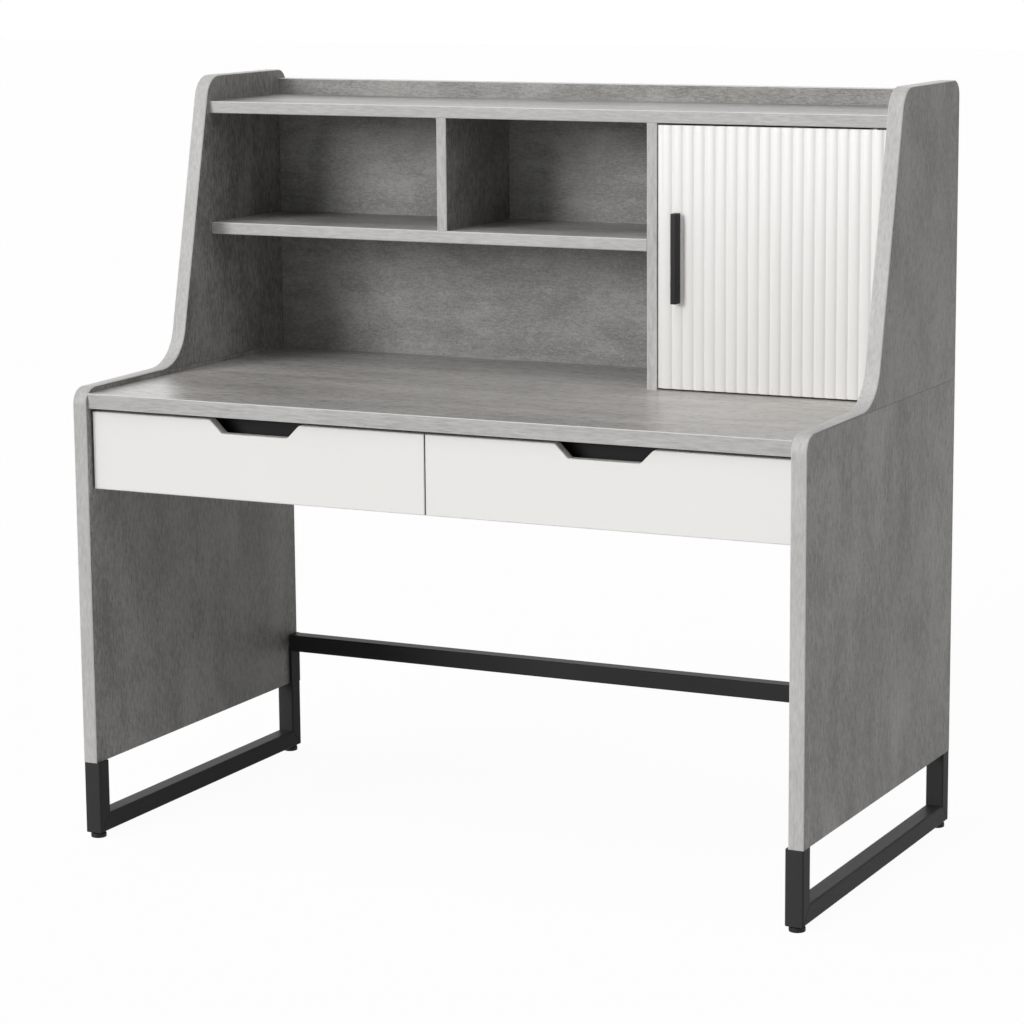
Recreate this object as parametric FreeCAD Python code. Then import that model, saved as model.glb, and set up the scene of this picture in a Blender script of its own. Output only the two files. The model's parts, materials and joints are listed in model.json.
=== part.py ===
import FreeCAD
import Part

import math
import os

# Student desk with a hutch. Millimetres, X to the right, Y to the back, Z up.
# The origin lies on the floor, in the middle of the desk's width and depth.

V = FreeCAD.Vector

# Overall sizes
overall_width = 1280.0
overall_depth = 670.0
overall_height = 1245.0
desktop_height = 750.0

# Boards
side_thickness = 25.0
desktop_thickness = 25.0
shelf_thickness = 20.0
divider_thickness = 18.0
back_thickness = 9.0
rail_thickness = 15.0
apron_thickness = 18.0
arris_size = 1.2

# Lower sides, which stand on the leg frames and rise a little above the desktop
lower_side_bottom = 130.0
rim_height = 8.0
rim_front_radius = 26.0

# Hutch sides, raked at the front, which stand on the lower sides
hutch_toe_height = 3.0
hutch_toe_flat = 3.0
hutch_foot_radius = 75.0
hutch_rake_share = 0.23
hutch_front_radius = 42.0
hutch_back_radius = 25.0

# Desktop, apron and drawer hanger
desktop_recess = 6.0
apron_height = 118.0
apron_setback = 40.0
hanger_thickness = 18.0

# Hutch shelves and dividers
shelf_setback = 407.0
shelf_lip = 9.0
hutch_top_rise = 43.0
cubby_height = 187.0
rail_height = 28.0
short_divider_place = -178.0
tall_divider_place = 203.5
back_panel_inset = 17.0
groove_depth = 6.0
groove_clearance = 0.2

# Leg frames of square tube
tube_size = 30.0
tube_wall = 1.5
tube_corner_radius = 3.0
post_cap_thickness = 3.0
mitre_seam_depth = 0.6
crossbar_top = 220.0
crossbar_plate_thickness = 5.0

# Levelling feet and their threaded inserts
foot_radius = 13.0
foot_edge_chamfer = 1.5
foot_height = 10.0
foot_seat_clearance = 0.2
foot_stud_radius = 4.0
foot_stud_length = 24.0
insert_radius = 6.0
insert_length = 16.0
insert_flange_radius = 8.0
insert_flange_thickness = 1.5
thread_clearance = 0.1

# Studs that hold the lower sides on their posts
post_stud_radius = 4.0
post_stud_length = 38.0

# Pins welded in the crossbar plates, pressed into the lower sides
plate_pin_radius = 3.0
plate_pin_in_plate = 3.0
plate_pin_in_side = 16.0
plate_pin_low_share = 0.22
plate_pin_high_share = 0.52
plate_pin_stagger = 9.0

# Drawers
drawer_recess = 14.0
drawer_front_thickness = 18.0
drawer_front_height = 128.0
drawer_top_gap = 5.5
drawer_side_gap = 3.0
drawer_seam = 2.0
drawer_box_height = 90.0
drawer_box_length = 420.0
drawer_box_rise = 18.0
drawer_wall = 12.0
drawer_bottom_thickness = 5.0
drawer_bottom_rise = 10.0
drawer_groove_depth = 5.0
drawer_back_housing = 4.0
drawer_dowel_radius = 3.0
drawer_dowel_in_front = 10.0
drawer_dowel_in_side = 20.0
drawer_dowel_low_share = 0.3
drawer_dowel_high_share = 0.8
notch_top_width = 164.0
notch_bottom_width = 120.0
notch_depth = 22.0
notch_corner_radius = 7.0

# Moulded cups behind the finger notches
cup_depth = 26.0
cup_wall = 2.0
cup_drop = 16.0
cup_side_margin = 4.0

# Telescopic drawer slides, three nested channels a side
slide_gap = 12.7
slide_height = 45.0
slide_sheet = 1.2
slide_clearance = 0.4
slide_length = 400.0
slide_middle_length = 390.0
slide_start = 2.0
slide_flange_back = 2.2

# Fluted cabinet door on two pivot pins
door_thickness = 18.0
door_gap_left = 1.5
door_gap_right = 3.0
door_gap_ends = 3.0
flute_count = 20
flute_margin = 6.0
flute_valley = 2.0
flute_rise = 2.2
pivot_inset = 22.0
pivot_radius = 3.0
pivot_depth = 14.0
pivot_length_in_bush = 9.0
pivot_running_clearance = 0.05
pivot_collar_radius = 5.0
pivot_thrust_clearance = 0.1
bush_radius = 5.0
bush_length = 10.0
bush_flange_radius = 7.0
bush_flange_thickness = 1.5

# Bar handle and its screws
handle_width = 10.0
handle_projection = 18.0
handle_length = 146.0
handle_flute = 2
handle_edge_radius = 2.0
handle_screw_spacing = 96.0
handle_screw_radius = 2.0
handle_screw_head_radius = 4.0
handle_screw_head_height = 2.5
handle_screw_grip = 12.0
screw_clearance = 0.2

# Magnetic catch on the tall divider, and its strike plate on the door
catch_length = 40.0
catch_width = 12.0
catch_depth = 14.0
catch_edge_radius = 2.0
catch_gap = 0.3
strike_length = 36.0
strike_width = 10.0
strike_thickness = 1.2
strike_edge_inset = 1.0

# Wooden dowels
dowel_radius = 4.0
dowel_in_face = 12.0
dowel_in_edge = 18.0
dowel_clearance = 0.1
dowel_end_room = 0.5
dowel_edge_distance = 50.0

# Cam locks and their bolts
cam_radius = 7.3
cam_depth = 12.6
cam_reach = 34.0
cam_bolt_depth = 9.0
cam_clearance = 0.2
cam_slot_length = 10.0
cam_slot_width = 1.6
cam_slot_depth = 2.0
cam_bolt_radius = 3.0
cam_bolt_bore_radius = 4.0
cam_bolt_thread_radius = 2.5
cam_bolt_thread_length = 10.0
cam_bolt_head_radius = 3.6
cam_bolt_head_length = 3.0

# Fasteners, and the holes for them, are prisms with few sides, and the feet have more
fastener_sides = 8
dowel_sides = 6
foot_sides = 24

# One overrun for every cut that runs out of a face, and one tolerance for finding edges
overrun = 1.0
tolerance = 0.01

# Places that follow from the sizes
half_width = overall_width / 2
front = -overall_depth / 2
back = overall_depth / 2
inner = half_width - side_thickness
rim_top = desktop_height + rim_height
desktop_bottom = desktop_height - desktop_thickness
shelf_front = front + shelf_setback
back_panel_front = back - back_panel_inset - back_thickness
rail_back = back_panel_front + rail_thickness
top_shelf_height = overall_height - hutch_top_rise
top_shelf_bottom = top_shelf_height - shelf_thickness
middle_shelf_height = top_shelf_bottom - cubby_height
middle_shelf_bottom = middle_shelf_height - shelf_thickness
apron_back = back - apron_setback
apron_front = apron_back - apron_thickness
apron_bottom = desktop_bottom - apron_height
frame_bottom = foot_height
frame_middle = half_width - tube_size / 2
side_middle = half_width - side_thickness / 2
drawer_front_face = front + drawer_recess
drawer_front_back = drawer_front_face + drawer_front_thickness
drawer_front_top = desktop_bottom - drawer_top_gap
drawer_front_bottom = drawer_front_top - drawer_front_height
drawer_box_bottom = drawer_front_bottom + drawer_box_rise
drawer_box_top = drawer_box_bottom + drawer_box_height
drawer_box_back = drawer_front_back + drawer_box_length
slide_front = drawer_front_back + slide_start
slide_middle_height = (drawer_box_bottom + drawer_box_top) / 2
cabinet_left = tall_divider_place + divider_thickness
door_left = cabinet_left + door_gap_left
door_right = inner - door_gap_right
door_bottom = desktop_height + door_gap_ends
door_top = top_shelf_bottom - door_gap_ends
door_back = shelf_front + door_thickness
door_middle_height = (door_bottom + door_top) / 2
pivot_x = door_right - pivot_inset
pivot_y = shelf_front + door_thickness / 2
flute_pitch = (door_right - door_left - 2 * flute_margin) / flute_count

X_AXIS = V(1, 0, 0)
Y_AXIS = V(0, 1, 0)
Z_AXIS = V(0, 0, 1)

parts = {}


def block(x, y, z):
    """A box from the low and high ends of its three spans."""
    return Part.makeBox(x[1] - x[0], y[1] - y[0], z[1] - z[0], V(x[0], y[0], z[0]))


def rod(radius, start, direction, length):
    return Part.makeCylinder(radius, length, start, direction)


def peg(radius, start, direction, length, sides=fastener_sides):
    """A regular prism along a direction, which stands for a fastener's cylinder."""
    angles = [2 * math.pi * i / sides for i in range(sides)]
    points = [V(radius * math.cos(angle), radius * math.sin(angle), 0) for angle in angles]
    shape = Part.Face(Part.makePolygon(points + points[:1])).extrude(Z_AXIS * length)
    shape.Placement = FreeCAD.Placement(start, FreeCAD.Rotation(Z_AXIS, direction))
    return shape


def mirrored(shape):
    """The same piece on the other side of the desk."""
    return shape.mirror(V(0, 0, 0), X_AXIS)


def span(a, b):
    """A low and a high end, whichever way round they come."""
    return (min(a, b), max(a, b))


def in_side_view(x):
    return lambda u, v: V(x, u, v)


def in_front_view(y):
    return lambda u, v: V(u, y, v)


def in_plan(z):
    return lambda u, v: V(u, v, z)


def rounded_wire(corners, place):
    """A closed wire through corners (u, v, radius), each rounded by its own radius."""
    arcs = []
    for i, (u, v, radius) in enumerate(corners):
        corner = V(u, v, 0)
        to_last = (V(*corners[i - 1][:2], 0) - corner).normalize()
        to_next = (V(*corners[(i + 1) % len(corners)][:2], 0) - corner).normalize()
        if radius == 0:
            arcs.append((corner, corner, corner))
            continue
        half_angle = to_last.getAngle(to_next) / 2
        reach = radius / math.tan(half_angle)
        inward = (to_last + to_next).normalize()
        middle = corner + inward * (radius / math.sin(half_angle) - radius)
        arcs.append((corner + to_last * reach, middle, corner + to_next * reach))
    edges = []
    for i, (start, middle, end) in enumerate(arcs):
        if not start.isEqual(end, tolerance):
            edges.append(Part.Arc(place(*start[:2]), place(*middle[:2]), place(*end[:2])).toShape())
        following = arcs[(i + 1) % len(arcs)][0]
        if not end.isEqual(following, tolerance):
            edges.append(Part.LineSegment(place(*end[:2]), place(*following[:2])).toShape())
    return Part.Wire(edges)


def profile_solid(corners, place, sweep):
    return Part.Face(rounded_wire(corners, place)).extrude(sweep)


def eased(shape, chosen):
    """The shape with the arris of its chosen edges taken off, as edge banding is."""
    return shape.makeChamfer(arris_size, [edge for edge in shape.Edges if chosen(edge.BoundBox)])


def rounded(shape, chosen, radius):
    """The shape with its chosen edges rounded over."""
    return shape.makeFillet(radius, [edge for edge in shape.Edges if chosen(edge.BoundBox)])


def front_edges(y):
    """Chooses the edges that lie in the plane of a board's front."""
    return lambda box: abs(box.YMin - y) < tolerance and abs(box.YMax - y) < tolerance


def long_front_edges(y):
    """Chooses the front edges that run along X."""
    return lambda box: front_edges(y)(box) and box.XLength > tolerance


def upright_front_edges(y):
    """Chooses the front edges that run along Z."""
    return lambda box: front_edges(y)(box) and box.ZLength > tolerance


def lower_side():
    """The right lower side, with its front top corner rounded off."""
    corners = [
        (front, lower_side_bottom, 0),
        (front, rim_top, rim_front_radius),
        (back, rim_top, 0),
        (back, lower_side_bottom, 0),
    ]
    board = profile_solid(corners, in_side_view(inner), X_AXIS * side_thickness)
    return eased(board, lambda box: box.XLength < tolerance and box.ZMax > lower_side_bottom + tolerance)


def hutch_front_at(z):
    """Where the raked front of a hutch side lies at a height."""
    return shelf_front - shelf_lip - hutch_rake_share * (top_shelf_height - z)


def hutch_side():
    """The right hutch side: a foot that sweeps up into the raked front, and a rounded top."""
    toe_top = rim_top + hutch_toe_height
    lean = math.atan(hutch_rake_share)
    foot_reach = hutch_foot_radius / math.tan((math.pi / 2 + lean) / 2)
    toe = hutch_front_at(toe_top) - foot_reach - hutch_toe_flat
    corners = [
        (toe, rim_top, 0),
        (toe, toe_top, 0),
        (hutch_front_at(toe_top), toe_top, hutch_foot_radius),
        (hutch_front_at(overall_height), overall_height, hutch_front_radius),
        (back, overall_height, hutch_back_radius),
        (back, rim_top, 0),
    ]
    board = profile_solid(corners, in_side_view(inner), X_AXIS * side_thickness)
    return eased(board, lambda box: box.XLength < tolerance and box.ZMax > toe_top - tolerance)


def back_panel_groove():
    """The groove for the hutch's back panel in the right sides."""
    return block(
        (inner - overrun, inner + groove_depth),
        (back_panel_front - groove_clearance, back_panel_front + back_thickness + groove_clearance),
        (desktop_height, top_shelf_bottom + groove_clearance),
    )


def make_sides():
    lower = lower_side().cut(back_panel_groove())
    hutch = hutch_side().cut(back_panel_groove())
    parts["right_lower_side"] = lower
    parts["left_lower_side"] = mirrored(lower)
    parts["right_hutch_side"] = hutch
    parts["left_hutch_side"] = mirrored(hutch)


def make_desktop():
    desktop_front = front + desktop_recess
    board = block((-inner, inner), (desktop_front, back), (desktop_bottom, desktop_height))
    parts["desktop"] = eased(board, long_front_edges(desktop_front))
    parts["rear_apron"] = block((-inner, inner), (apron_front, apron_back), (apron_bottom, desktop_bottom))
    parts["drawer_hanger"] = block(
        (-hanger_thickness / 2, hanger_thickness / 2),
        (slide_front, apron_front),
        (apron_bottom, desktop_bottom),
    )


def make_hutch_boards():
    top = block((-inner, inner), (shelf_front, rail_back), (top_shelf_bottom, top_shelf_height))
    parts["top_shelf"] = eased(top, long_front_edges(shelf_front))
    middle = block(
        (-inner, tall_divider_place),
        (shelf_front, back_panel_front),
        (middle_shelf_bottom, middle_shelf_height),
    )
    parts["middle_shelf"] = eased(middle, long_front_edges(shelf_front))
    short = block(
        (short_divider_place, short_divider_place + divider_thickness),
        (shelf_front, back_panel_front),
        (middle_shelf_height, top_shelf_bottom),
    )
    parts["short_divider"] = eased(short, upright_front_edges(shelf_front))
    tall = block(
        (tall_divider_place, cabinet_left),
        (shelf_front, back_panel_front),
        (desktop_height, top_shelf_bottom),
    )
    parts["tall_divider"] = eased(tall, upright_front_edges(shelf_front))
    rail = block(
        (-inner, inner),
        (back_panel_front, rail_back),
        (top_shelf_height, top_shelf_height + rail_height),
    )
    parts["back_rail"] = eased(
        rail,
        lambda box: box.ZMin > top_shelf_height + tolerance and box.XLength > tolerance,
    )
    panel_reach = inner + groove_depth - groove_clearance
    parts["hutch_back_panel"] = block(
        (-panel_reach, panel_reach),
        (back_panel_front, back_panel_front + back_thickness),
        (desktop_height, top_shelf_bottom),
    )


def square_tube(centre, place, sweep):
    """A hollow square tube about a centre in its own section."""
    u, v = centre
    reach = tube_size / 2
    skins = []
    for half, radius in ((reach, tube_corner_radius), (reach - tube_wall, 0)):
        square = [
            (u - half, v - half, radius),
            (u + half, v - half, radius),
            (u + half, v + half, radius),
            (u - half, v + half, radius),
        ]
        skins.append(profile_solid(square, place, sweep))
    return skins[0].cut(skins[1])


def slanted_edges(box):
    """Chooses the edges of a side-view outline that run at a slant."""
    return box.XLength < tolerance < min(box.YLength, box.ZLength)


def mitred(tube, corners):
    """The part of a frame tube inside a side-view outline, whose slanted ends are the mitres.

    Each mitre's edges on the tube's two broad sides are dressed, so the joint shows as a fine groove.
    """
    outline = [(y, z, 0) for y, z in corners]
    inside = profile_solid(outline, in_side_view(half_width - tube_size), X_AXIS * tube_size)
    seam = [edge for edge in inside.Edges if slanted_edges(edge.BoundBox)]
    return tube.common(inside.makeChamfer(mitre_seam_depth, seam))


def frame_post(y_outer, y_inner):
    """An upright of the right leg frame, mitred to the bar below and closed by a cap plate on top."""
    y_middle = (y_outer + y_inner) / 2
    height = lower_side_bottom - frame_bottom
    tube = square_tube((frame_middle, y_middle), in_plan(frame_bottom), Z_AXIS * height)
    cap_reach = tube_size / 2 - tube_wall
    cap = block(
        (frame_middle - cap_reach, frame_middle + cap_reach),
        (y_middle - cap_reach, y_middle + cap_reach),
        (lower_side_bottom - post_cap_thickness, lower_side_bottom),
    )
    upright = mitred(
        tube,
        [
            (y_outer, frame_bottom),
            (y_inner, frame_bottom + tube_size),
            (y_inner, lower_side_bottom),
            (y_outer, lower_side_bottom),
        ],
    )
    stud_hole = peg(
        post_stud_radius + thread_clearance,
        V(side_middle, y_middle, lower_side_bottom - post_cap_thickness - overrun),
        Z_AXIS,
        post_cap_thickness + 2 * overrun,
    )
    return upright.fuse(cap).removeSplitter().cut(stud_hole)


def foot_places():
    """Each foot's name and its middle on the floor."""
    reach = overall_depth / 2 - tube_size / 2
    return {
        "front_left_foot": V(-frame_middle, -reach, 0),
        "front_right_foot": V(frame_middle, -reach, 0),
        "rear_left_foot": V(-frame_middle, reach, 0),
        "rear_right_foot": V(frame_middle, reach, 0),
    }


def bottom_bar():
    """The floor bar of the right leg frame, with a hole at each end for a foot insert."""
    tube = square_tube(
        (frame_middle, frame_bottom + tube_size / 2),
        in_front_view(front),
        Y_AXIS * overall_depth,
    )
    bar = mitred(
        tube,
        [
            (front, frame_bottom),
            (back, frame_bottom),
            (back - tube_size, frame_bottom + tube_size),
            (front + tube_size, frame_bottom + tube_size),
        ],
    )
    for middle in foot_places().values():
        if middle.x > 0:
            start = middle + Z_AXIS * (frame_bottom - overrun)
            bar = bar.cut(peg(insert_radius + thread_clearance, start, Z_AXIS, tube_wall + 2 * overrun))
    return bar


def make_leg_frames():
    right = {
        "front_post": frame_post(front, front + tube_size),
        "rear_post": frame_post(back, back - tube_size),
        "bottom_bar": bottom_bar(),
    }
    for name, tube in right.items():
        parts["right_" + name] = tube
        parts["left_" + name] = mirrored(tube)
    plate = block(
        (inner - crossbar_plate_thickness, inner),
        (back - tube_size, back),
        (lower_side_bottom, crossbar_top),
    )
    parts["right_crossbar_plate"] = plate
    parts["left_crossbar_plate"] = mirrored(plate)
    reach = inner - crossbar_plate_thickness
    parts["crossbar"] = square_tube(
        (back - tube_size / 2, crossbar_top - tube_size / 2),
        in_side_view(-reach),
        X_AXIS * (2 * reach),
    )


def pan_head_screw(seat, direction, radius, length, head_radius, head_height):
    """A screw whose shank runs from its seat along a direction, with its head on the other side."""
    shank = peg(radius, seat, direction, length)
    return shank.fuse(peg(head_radius, seat, -direction, head_height)).removeSplitter()


def make_plate_pins():
    """Two pins a side from each crossbar plate into the lower side, one each side of the post's stud."""
    pins = []
    height = crossbar_top - lower_side_bottom
    middle = back - tube_size / 2
    places = (
        (middle - plate_pin_stagger, plate_pin_low_share),
        (middle + plate_pin_stagger, plate_pin_high_share),
    )
    for y, share in places:
        start = V(inner, y, lower_side_bottom + share * height)
        pin, room = dowel_and_room(start, X_AXIS, plate_pin_radius, plate_pin_in_plate, plate_pin_in_side)
        for side, piece, hole in (("right", pin, room), ("left", mirrored(pin), mirrored(room))):
            pins.append(piece)
            for board in ("crossbar_plate", "lower_side"):
                parts[f"{side}_{board}"] = parts[f"{side}_{board}"].cut(hole)
    parts["plate_pins"] = Part.makeCompound(pins)


def make_post_studs():
    """A stud from each post's cap plate up into the lower side."""
    studs = []
    for middle in foot_places().values():
        side = "left" if middle.x < 0 else "right"
        x = math.copysign(side_middle, middle.x)
        start = V(x, middle.y, lower_side_bottom - post_cap_thickness)
        studs.append(peg(post_stud_radius, start, Z_AXIS, post_stud_length))
        room = peg(post_stud_radius + thread_clearance, start, Z_AXIS, post_stud_length + dowel_end_room)
        board = side + "_lower_side"
        parts[board] = parts[board].cut(room)
    parts["post_studs"] = Part.makeCompound(studs)


def foot(middle):
    """A levelling foot: a round pad with a chamfered lower rim, moulded on a stud."""
    pad_top = foot_height - foot_seat_clearance
    pad = peg(foot_radius, middle, Z_AXIS, pad_top, foot_sides)
    rim = [edge for edge in pad.Edges if edge.BoundBox.ZMax < tolerance]
    pad = pad.makeChamfer(foot_edge_chamfer, rim)
    stud = peg(foot_stud_radius, middle + Z_AXIS * pad_top, Z_AXIS, foot_stud_length)
    return pad.fuse(stud).removeSplitter()


def foot_insert(middle):
    """A flanged threaded insert in the floor bar, which the foot's stud screws into."""
    start = middle + Z_AXIS * frame_bottom
    body = peg(insert_radius, start, Z_AXIS, insert_length)
    flange = peg(insert_flange_radius, start + Z_AXIS * tube_wall, Z_AXIS, insert_flange_thickness)
    bore_radius = foot_stud_radius + thread_clearance
    bore = peg(bore_radius, start - Z_AXIS * overrun, Z_AXIS, insert_length + 2 * overrun)
    return body.fuse(flange).removeSplitter().cut(bore)


def make_feet():
    inserts = []
    for name, middle in foot_places().items():
        parts[name] = foot(middle)
        inserts.append(foot_insert(middle))
    parts["foot_inserts"] = Part.makeCompound(inserts)


def channel(web, tip, height, place):
    """A folded sheet channel whose web stands at web and whose flanges reach to tip."""
    inward = math.copysign(slide_sheet, tip - web)
    half = height / 2
    corners = [
        (web, -half, 0),
        (tip, -half, 0),
        (tip, -half + slide_sheet, 0),
        (web + inward, -half + slide_sheet, 0),
        (web + inward, half - slide_sheet, 0),
        (tip, half - slide_sheet, 0),
        (tip, half, 0),
        (web, half, 0),
    ]
    return lambda length: profile_solid(corners, place, Y_AXIS * length)


def slide_set(wall, towards):
    """The cabinet, middle and drawer members of one slide, from the wall it is screwed to."""
    def place(u, v):
        return V(wall + towards * u, slide_front, slide_middle_height + v)

    step = slide_sheet + slide_clearance
    cabinet = channel(0, slide_gap - step - slide_flange_back, slide_height, place)(slide_length)
    middle_height = slide_height - 2 * step
    middle = channel(step, slide_gap - step, middle_height, place)(slide_middle_length)
    drawer_height = middle_height - 2 * step
    drawer = channel(slide_gap, 2 * step, drawer_height, place)(slide_length)
    return cabinet, middle, drawer


def drawer_front(x_low, x_high):
    """A drawer front with a sloped finger notch in the middle of its top edge."""
    middle = (x_low + x_high) / 2
    top_half = notch_top_width / 2
    bottom_half = notch_bottom_width / 2
    notch_bottom = drawer_front_top - notch_depth
    corners = [
        (x_low, drawer_front_bottom, 0),
        (x_high, drawer_front_bottom, 0),
        (x_high, drawer_front_top, 0),
        (middle + top_half, drawer_front_top, notch_corner_radius),
        (middle + bottom_half, notch_bottom, notch_corner_radius),
        (middle - bottom_half, notch_bottom, notch_corner_radius),
        (middle - top_half, drawer_front_top, notch_corner_radius),
        (x_low, drawer_front_top, 0),
    ]
    board = profile_solid(corners, in_front_view(drawer_front_face), Y_AXIS * drawer_front_thickness)
    return eased(board, front_edges(drawer_front_face))


def pull_cup(middle):
    """A moulded cup on the back of a drawer front, which closes its finger notch off from the drawer."""
    half = notch_top_width / 2 + cup_side_margin
    low = drawer_front_top - notch_depth - cup_drop
    cup_back = drawer_front_back + cup_depth
    outside = block((middle - half, middle + half), (drawer_front_back, cup_back), (low, drawer_front_top))
    inside = block(
        (middle - half + cup_wall, middle + half - cup_wall),
        (drawer_front_back - overrun, cup_back - cup_wall),
        (low + cup_wall, drawer_front_top + overrun),
    )
    return outside.cut(inside)


def make_drawer(side, towards):
    """One drawer with its slides. towards is -1 for the left drawer and 1 for the right one."""
    wall = towards * inner
    hanger = towards * hanger_thickness / 2
    outer_cabinet, outer_middle, outer_drawer = slide_set(wall, -towards)
    inner_cabinet, inner_middle, inner_drawer = slide_set(hanger, towards)
    parts[f"{side}_cabinet_slides"] = Part.makeCompound([outer_cabinet, inner_cabinet])
    parts[f"{side}_middle_slides"] = Part.makeCompound([outer_middle, inner_middle])
    parts[f"{side}_drawer_slides"] = Part.makeCompound([outer_drawer, inner_drawer])

    outer_face = wall - towards * slide_gap
    inner_face = hanger + towards * slide_gap
    sides = {
        f"{side}_drawer_outer_side": span(outer_face, outer_face - towards * drawer_wall),
        f"{side}_drawer_inner_side": span(inner_face, inner_face + towards * drawer_wall),
    }
    inside = span(outer_face - towards * drawer_wall, inner_face + towards * drawer_wall)
    bottom_low = drawer_box_bottom + drawer_bottom_rise
    bottom_high = bottom_low + drawer_bottom_thickness
    panel_reach = drawer_groove_depth - groove_clearance
    panel = block(
        (inside[0] - panel_reach, inside[1] + panel_reach),
        (drawer_front_back - panel_reach, drawer_box_back),
        (bottom_low, bottom_high),
    )
    groove = block(
        (inside[0] - drawer_groove_depth, inside[1] + drawer_groove_depth),
        (drawer_front_back - drawer_groove_depth, drawer_box_back + overrun),
        (bottom_low - groove_clearance, bottom_high + groove_clearance),
    )
    back_reach = drawer_back_housing - groove_clearance
    back_low = drawer_box_back - 2 * drawer_wall
    back_board = block(
        (inside[0] - back_reach, inside[1] + back_reach),
        (back_low, back_low + drawer_wall),
        (bottom_high + groove_clearance, drawer_box_top),
    )
    housing = block(
        (inside[0] - drawer_back_housing, inside[1] + drawer_back_housing),
        (back_low - groove_clearance, back_low + drawer_wall + groove_clearance),
        (bottom_high, drawer_box_top + overrun),
    )
    front_span = span(towards * drawer_seam / 2, wall - towards * drawer_side_gap)
    front_board = drawer_front(*front_span).cut(groove)

    dowels = []
    for name, x in sides.items():
        board = block(x, (drawer_front_back, drawer_box_back), (drawer_box_bottom, drawer_box_top))
        board = board.cut(groove).cut(housing)
        for share in (drawer_dowel_low_share, drawer_dowel_high_share):
            start = V(sum(x) / 2, drawer_front_back, drawer_box_bottom + share * drawer_box_height)
            dowel, room = dowel_and_room(
                start, Y_AXIS, drawer_dowel_radius, drawer_dowel_in_front, drawer_dowel_in_side
            )
            dowels.append(dowel)
            board = board.cut(room)
            front_board = front_board.cut(room)
        parts[name] = board
    parts[f"{side}_drawer_front"] = front_board
    parts[f"{side}_drawer_pull_cup"] = pull_cup(sum(front_span) / 2)
    parts[f"{side}_drawer_back"] = back_board
    parts[f"{side}_drawer_bottom"] = panel
    parts[f"{side}_drawer_dowels"] = Part.makeCompound(dowels)


def dowel_and_room(point, direction, radius=dowel_radius, in_face=dowel_in_face, in_edge=dowel_in_edge):
    """A dowel across a joint at point, and the drilled room for it in both boards."""
    length = in_face + in_edge
    dowel = peg(radius, point - direction * in_face, direction, length, dowel_sides)
    room_start = point - direction * (in_face + dowel_end_room)
    room_length = length + 2 * dowel_end_room
    room = peg(radius + dowel_clearance, room_start, direction, room_length, dowel_sides)
    return dowel, room


def board_joints():
    """Each dowelled joint as the drilled face's board, the edge's board, a point and a direction."""
    joints = []
    shelf_rows = (shelf_front + dowel_edge_distance, back_panel_front - dowel_edge_distance)
    shelf_middle = (shelf_front + back_panel_front) / 2
    top_level = top_shelf_bottom + shelf_thickness / 2
    middle_level = middle_shelf_bottom + shelf_thickness / 2
    desk_level = desktop_bottom + desktop_thickness / 2
    apron_middle = (apron_front + apron_back) / 2
    apron_level = apron_bottom + dowel_edge_distance
    rail_middle = (back_panel_front + rail_back) / 2
    short_middle = short_divider_place + divider_thickness / 2
    tall_middle = tall_divider_place + divider_thickness / 2
    for side, towards in (("left", -1), ("right", 1)):
        wall = towards * inner
        inward = X_AXIS * -towards
        lower = side + "_lower_side"
        hutch = side + "_hutch_side"
        for y in (hutch_front_at(rim_top), back - dowel_edge_distance):
            joints.append((lower, hutch, V(towards * side_middle, y, rim_top), Z_AXIS))
        joints.append((hutch, "top_shelf", V(wall, shelf_middle, top_level), inward))
        joints.append((lower, "desktop", V(wall, 0, desk_level), inward))
        joints.append((lower, "rear_apron", V(wall, apron_middle, apron_level), inward))
        rail_point = V(wall - towards * dowel_edge_distance, rail_middle, top_shelf_height)
        joints.append(("top_shelf", "back_rail", rail_point, Z_AXIS))
        joints.append(("desktop", "rear_apron", V(wall / 2, apron_middle, desktop_bottom), -Z_AXIS))
    joints.append(("left_hutch_side", "middle_shelf", V(-inner, shelf_middle, middle_level), X_AXIS))
    for y in shelf_rows:
        joints.append(("tall_divider", "middle_shelf", V(tall_divider_place, y, middle_level), -X_AXIS))
        joints.append(("middle_shelf", "short_divider", V(short_middle, y, middle_shelf_height), Z_AXIS))
        joints.append(("top_shelf", "short_divider", V(short_middle, y, top_shelf_bottom), -Z_AXIS))
        joints.append(("top_shelf", "tall_divider", V(tall_middle, y, top_shelf_bottom), -Z_AXIS))
        joints.append(("desktop", "tall_divider", V(tall_middle, y, desktop_height), Z_AXIS))
    for y in (slide_front + dowel_edge_distance, apron_front - dowel_edge_distance):
        joints.append(("desktop", "drawer_hanger", V(0, y, desktop_bottom), -Z_AXIS))
    joints.append(("rear_apron", "drawer_hanger", V(0, apron_front, apron_level), -Y_AXIS))
    return joints


def make_dowels():
    dowels = []
    for face_board, edge_board, point, direction in board_joints():
        dowel, room = dowel_and_room(point, direction)
        dowels.append(dowel)
        for board in (face_board, edge_board):
            parts[board] = parts[board].cut(room)
    parts["board_dowels"] = Part.makeCompound(dowels)


def cam_joints():
    """Each cam joint as the side's board, the held board, a point on its cam face and two directions."""
    joints = []
    shelf_rows = (shelf_front + dowel_edge_distance, back_panel_front - dowel_edge_distance)
    desk_rows = (front / 2, back / 2)
    apron_level = desktop_bottom - dowel_edge_distance
    for side, towards in (("left", -1), ("right", 1)):
        wall = towards * inner
        inward = X_AXIS * -towards
        for y in shelf_rows:
            joints.append((side + "_hutch_side", "top_shelf", V(wall, y, top_shelf_bottom), inward, Z_AXIS))
        for y in desk_rows:
            joints.append((side + "_lower_side", "desktop", V(wall, y, desktop_bottom), inward, Z_AXIS))
        joints.append((side + "_lower_side", "rear_apron", V(wall, apron_back, apron_level), inward, -Y_AXIS))
    for y in shelf_rows:
        joints.append(("left_hutch_side", "middle_shelf", V(-inner, y, middle_shelf_bottom), X_AXIS, Z_AXIS))
    return joints


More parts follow.
